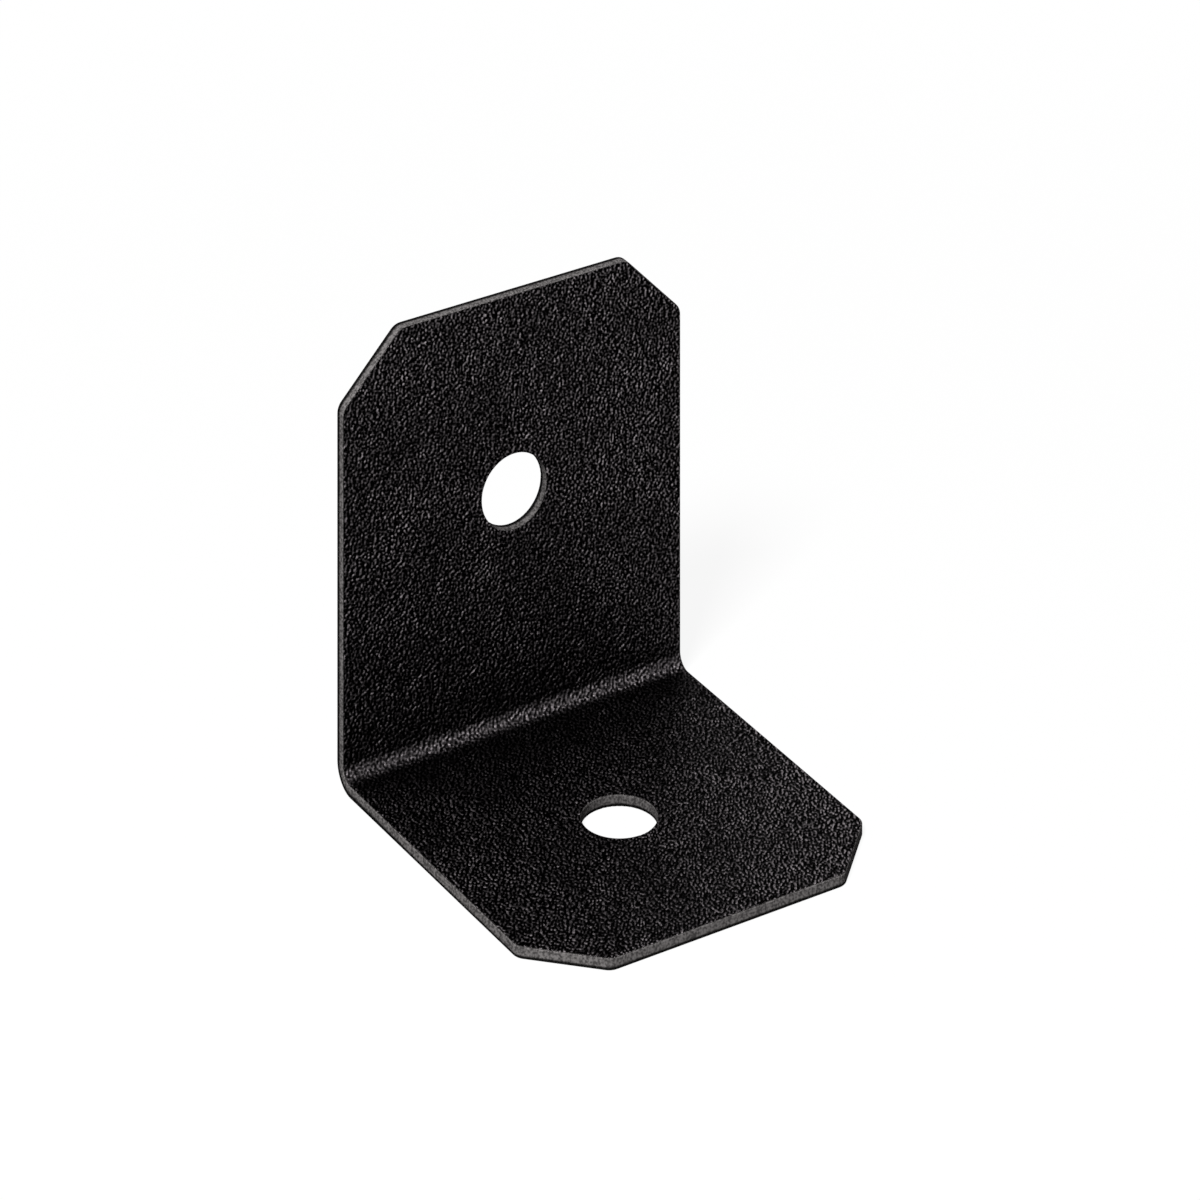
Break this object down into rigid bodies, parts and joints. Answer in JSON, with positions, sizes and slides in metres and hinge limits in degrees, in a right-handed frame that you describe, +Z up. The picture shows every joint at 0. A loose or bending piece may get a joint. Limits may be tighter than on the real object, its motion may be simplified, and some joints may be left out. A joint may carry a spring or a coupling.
{
  "type": "framing angle",
  "caption": "Right-angle framing connector folded from one steel sheet, with clipped corners and a bolt hole in each leg, finished in textured black powder coat.",
  "frame": {"origin": "middle of the footprint, on the underside of the lower leg", "axes": "+Z up along the upright, +X along the fold, +Y towards the back of the upright, so that the lower leg reaches towards -Y"},
  "size_m": [0.0636, 0.0654, 0.0707],
  "materials": {
    "powder_coat": "matt black powder coat with a fine raised texture, smoother on the cut edges"
  },
  "bodies": {
    "root": {"framing_angle": "powder_coat"}
  },
  "joints": []
}
